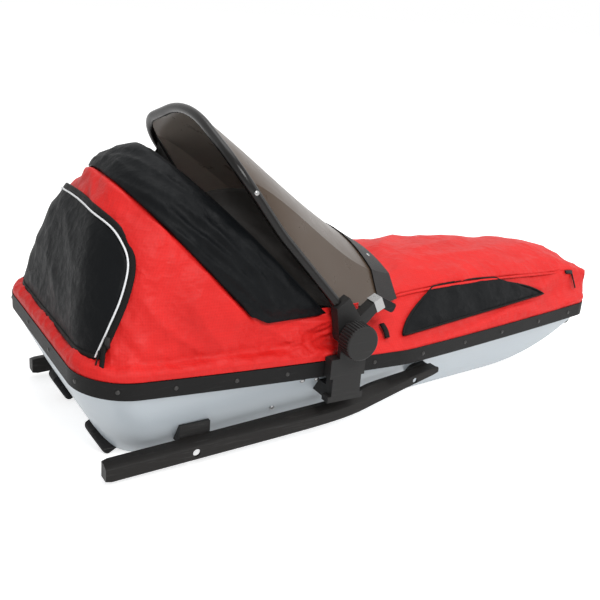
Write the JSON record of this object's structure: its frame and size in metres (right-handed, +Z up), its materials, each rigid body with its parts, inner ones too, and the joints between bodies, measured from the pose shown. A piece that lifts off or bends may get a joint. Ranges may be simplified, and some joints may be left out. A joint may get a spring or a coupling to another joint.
{
  "type": "child carrier pulk",
  "caption": "Towed snow sled for a small child: moulded hull with support runners, padded fabric hood and nose cover, and a tinted windscreen on a hinged bow clamped by hand knobs.",
  "frame": {"origin": "on the ground under the middle of the overall length, on the centre line", "axes": "+X to the nose and the way it is towed, +Y to the left side, +Z up"},
  "size_m": [1.39, 0.676, 0.6574],
  "materials": {
    "hull_plastic": "moulded, light grey-white",
    "black_plastic": "moulded, satin black",
    "black_rubber": "moulded rubber",
    "red_fabric": "coated ripstop",
    "black_fabric": "coated, padded",
    "bow_metal": "gloss black tube",
    "tinted_sheet": "smoke-tinted clear sheet",
    "ferrule_steel": "bright"
  },
  "bodies": {
    "pulk": {"hull": "hull_plastic", "rim_edging": "black_plastic", "runner_right": "black_plastic", "runner_left": "black_plastic", "runner_brackets_right": "black_plastic", "runner_brackets_left": "black_plastic", "transom_feet": "black_rubber", "tow_bracket_right": "black_plastic", "tow_bracket_left": "black_plastic", "hinge_bracket_right": "black_plastic", "hinge_bracket_left": "black_plastic", "knob_right": "black_plastic", "knob_left": "black_plastic", "hood": "red_fabric", "rear_panel": "black_fabric", "collar": "black_fabric", "nose_cover": "red_fabric", "side_pocket_right": "black_fabric", "side_pocket_left": "black_fabric", "seat_pad": "black_fabric", "backrest": "black_fabric"},
    "windscreen": {"bow": "bow_metal", "visor": "tinted_sheet", "base_band": "black_plastic", "knuckle_right": "black_plastic", "knuckle_left": "black_plastic", "ferrule_right": "ferrule_steel", "ferrule_left": "ferrule_steel", "tab_right": "black_rubber", "tab_left": "black_rubber"}
  },
  "joints": [
    {"name": "windscreen_tilt", "type": "hinge", "parent": "pulk", "child": "windscreen", "pos_m": [-0.155, 0, 0.248], "axis": [0, 1, 0], "range_deg": [-5, 3]}
  ]
}
